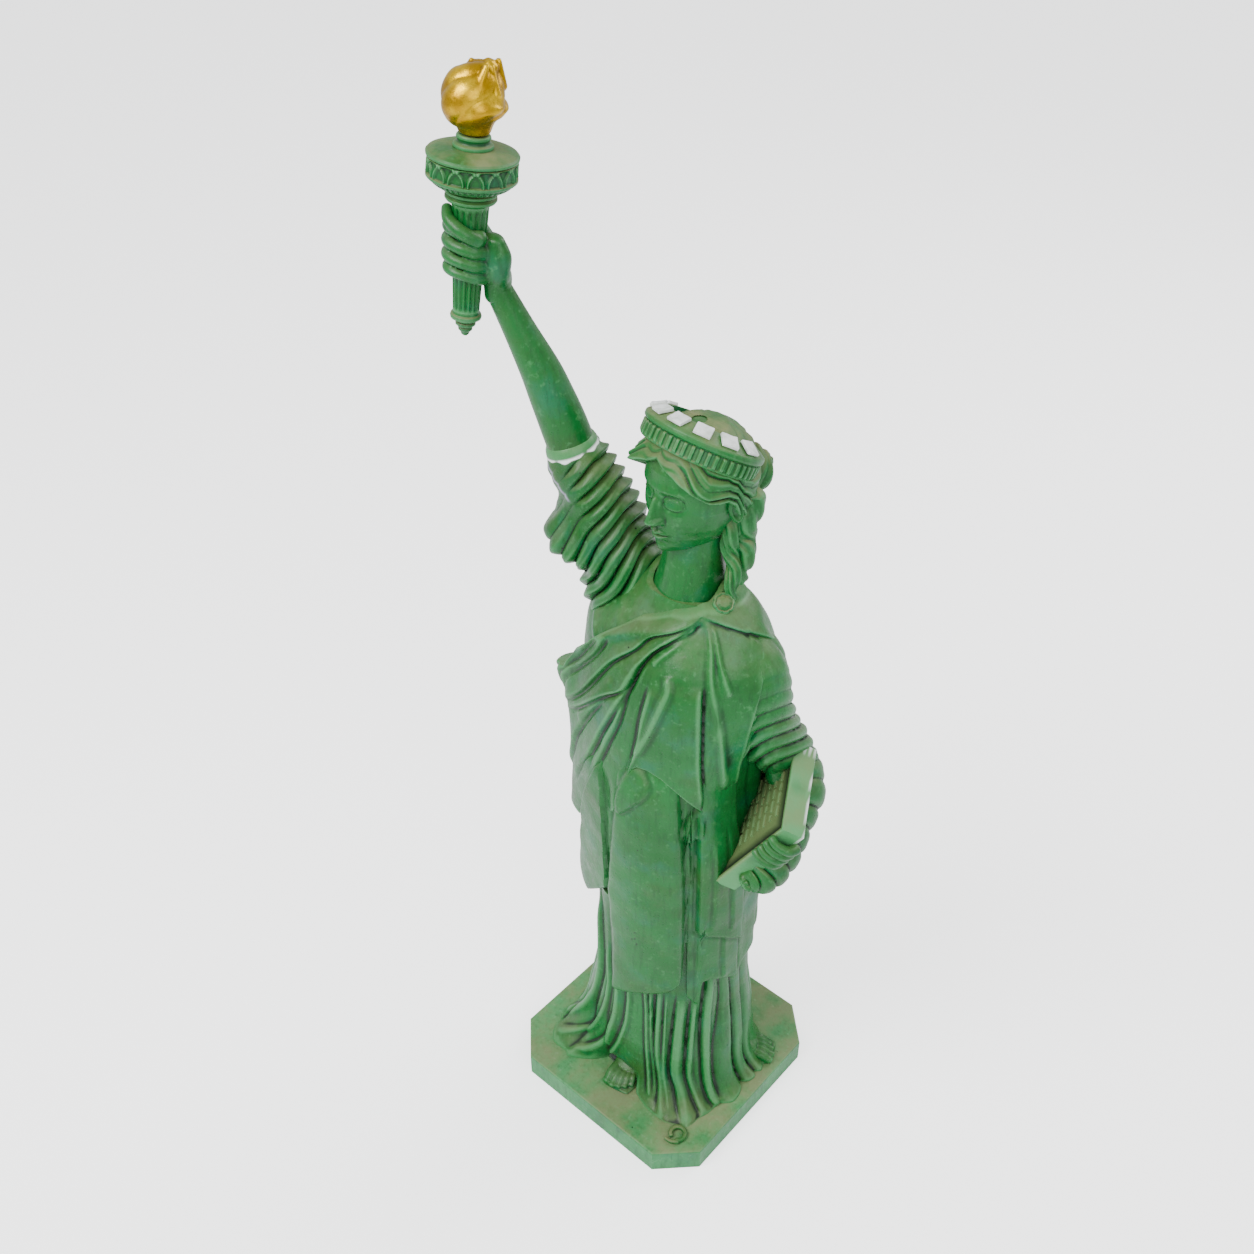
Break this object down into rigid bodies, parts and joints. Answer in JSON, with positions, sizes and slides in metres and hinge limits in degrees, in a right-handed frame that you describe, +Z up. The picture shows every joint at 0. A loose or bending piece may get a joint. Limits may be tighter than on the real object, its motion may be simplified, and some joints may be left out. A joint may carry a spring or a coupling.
{
  "type": "miniature landmark statue",
  "caption": "Painted cast statue of a robed, crowned figure that raises a torch with a gold flame and carries a tablet, on a cut-corner plinth.",
  "frame": {"origin": "centre of the plinth's underside", "axes": "+Z up, -Y the way the figure faces, +X the figure's left, where the tablet is"},
  "size_m": [0.4166, 0.3, 1.2724],
  "materials": {
    "cloth_paint": "green enamel over cast resin, satin gloss, dusty in the folds",
    "skin_paint": "green enamel over cast resin, glossier on the rounded parts",
    "hair_paint": "green enamel with olive dust on the top",
    "plinth_paint": "green enamel, brown dust on the flat top",
    "tablet_paint": "green enamel, chalky with dust and chipped at its outer edge",
    "regalia_paint": "green enamel on the crown and torch",
    "gold_paint": "gold paint, glossy with darker hollows",
    "bare_resin": "bare white resin where pieces broke off",
    "filler": "grey filler around the arm's joint",
    "steel": "plain zinc-plated steel"
  },
  "bodies": {
    "statue": {"plinth": "plinth_paint", "base_bolt_1": "steel", "base_bolt_2": "steel", "base_bolt_3": "steel", "base_bolt_4": "steel", "base_nut_1": "steel", "base_nut_2": "steel", "base_nut_3": "steel", "base_nut_4": "steel", "foot_flange": "steel", "armature_post": "steel", "shackle": "regalia_paint", "underskirt": "cloth_paint", "right_foot": "skin_paint", "left_foot": "skin_paint", "robe": "cloth_paint", "mantle": "cloth_paint", "brooch": "regalia_paint", "left_sleeve": "cloth_paint", "left_hand": "skin_paint", "tablet": "tablet_paint", "neck": "skin_paint", "head": "skin_paint", "hair": "hair_paint", "hair_bun": "hair_paint", "lock_left": "hair_paint", "lock_right": "hair_paint", "crown": "regalia_paint", "ray_stub_1": "bare_resin", "ray_stub_2": "bare_resin", "ray_stub_3": "bare_resin", "ray_stub_4": "bare_resin", "ray_stub_5": "bare_resin", "ray_stub_6": "bare_resin", "ray_stub_7": "bare_resin", "right_sleeve": "cloth_paint", "arm_socket": "filler"},
    "arm": {"arm_tenon": "bare_resin", "forearm": "skin_paint", "right_hand": "skin_paint", "torch_handle": "regalia_paint", "torch_finial": "regalia_paint", "torch_ring": "regalia_paint", "torch_gallery": "regalia_paint", "torch_rod": "steel"},
    "flame_collar": {"flame_collar": "regalia_paint"},
    "flame": {"flame": "gold_paint"}
  },
  "joints": [
    {"name": "arm_pull", "type": "slide", "parent": "statue", "child": "arm", "axis": [-0.2681, -0.1951, 0.9434], "range_m": [0, 0.06]},
    {"name": "collar_lift", "type": "slide", "parent": "arm", "child": "flame_collar", "axis": [0.088, 0.075, 0.9933], "range_m": [0, 0.012]},
    {"name": "flame_turn", "type": "hinge", "parent": "flame_collar", "child": "flame", "pos_m": [-0.1766, -0.07587, 1.19683], "axis": [0.088, 0.075, 0.9933], "continuous": true}
  ]
}
